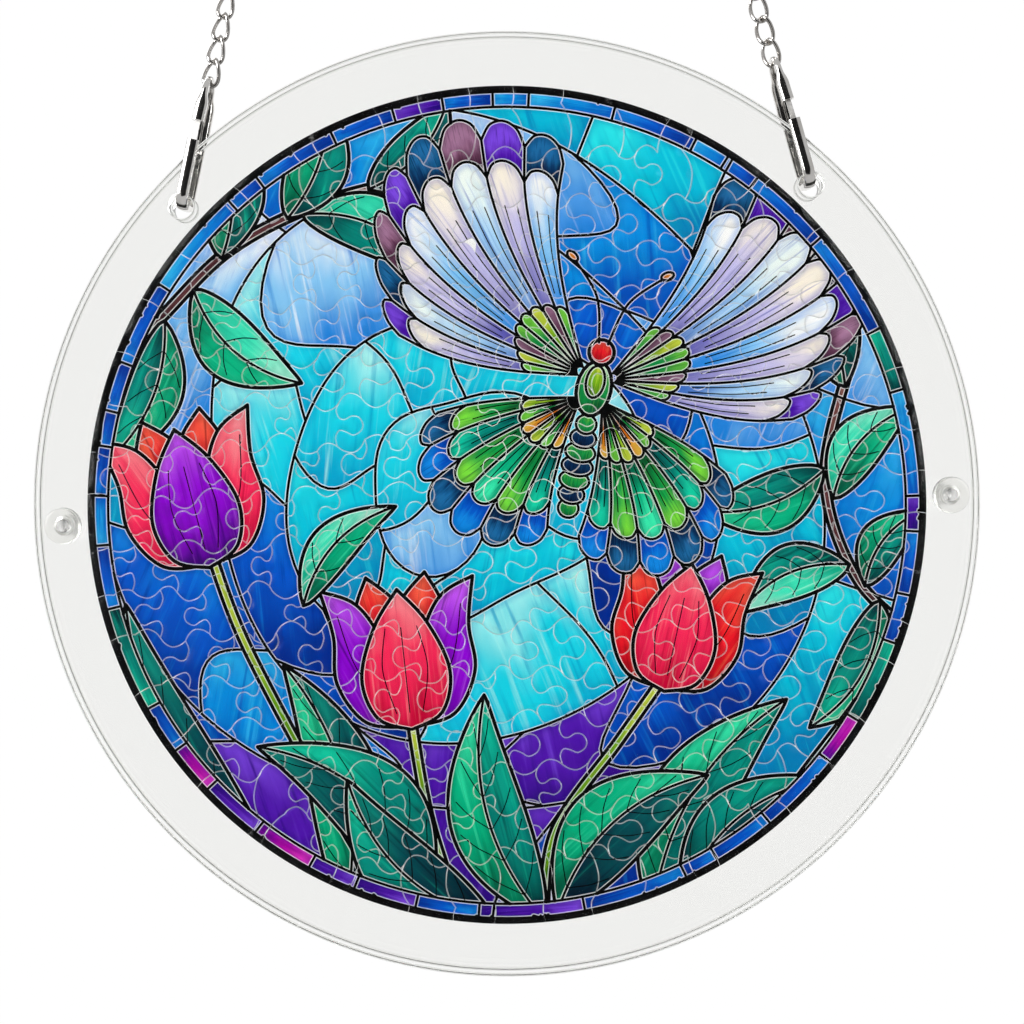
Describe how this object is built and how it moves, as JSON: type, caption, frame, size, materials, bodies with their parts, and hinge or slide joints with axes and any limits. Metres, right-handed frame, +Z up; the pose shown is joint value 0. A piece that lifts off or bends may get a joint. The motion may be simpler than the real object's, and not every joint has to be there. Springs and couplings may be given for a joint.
{
  "type": "acrylic puzzle suncatcher",
  "caption": "Round jigsaw picture held between two clear acrylic discs, hung by a chain with a snap hook at each end.",
  "frame": {"origin": "inside of the top of the chain's middle link, the point that hangs on a hook", "axes": "+Z up, the picture faces -Y, +X to the right seen from the front"},
  "size_m": [0.254, 0.0132, 0.5398],
  "materials": {
    "clear_acrylic": "clear, polished",
    "printed_puzzle": "printed picture under a thin gloss, pale cut edges",
    "clear_rivet": "clear, moulded",
    "bright_nickel": "bright nickel plate",
    "spring_steel": "plated spring strip",
    "chain_steel": "bright plated wire"
  },
  "bodies": {
    "suncatcher": {"front_panel": "clear_acrylic", "back_panel": "clear_acrylic", "puzzle_board": "printed_puzzle", "left_rivet": "clear_rivet", "right_rivet": "clear_rivet", "left_clasp": "bright_nickel", "right_clasp": "bright_nickel", "left_chain": "chain_steel", "right_chain": "chain_steel", "middle_link": "chain_steel"},
    "left_gate": {"left_gate": "spring_steel"},
    "right_gate": {"right_gate": "spring_steel"}
  },
  "joints": [
    {"name": "left_gate_hinge", "type": "hinge", "parent": "suncatcher", "child": "left_gate", "pos_m": [-0.07798, -0.00444, -0.30484], "axis": [0.9693, 0, -0.2461], "range_deg": [0, 25], "stiffness_Nm_per_rad": 0.03, "springref_deg": -8.59},
    {"name": "right_gate_hinge", "type": "hinge", "parent": "suncatcher", "child": "right_gate", "pos_m": [0.07798, -0.00444, -0.30484], "axis": [0.9693, 0, 0.2461], "range_deg": [0, 25], "stiffness_Nm_per_rad": 0.03, "springref_deg": -8.59}
  ]
}
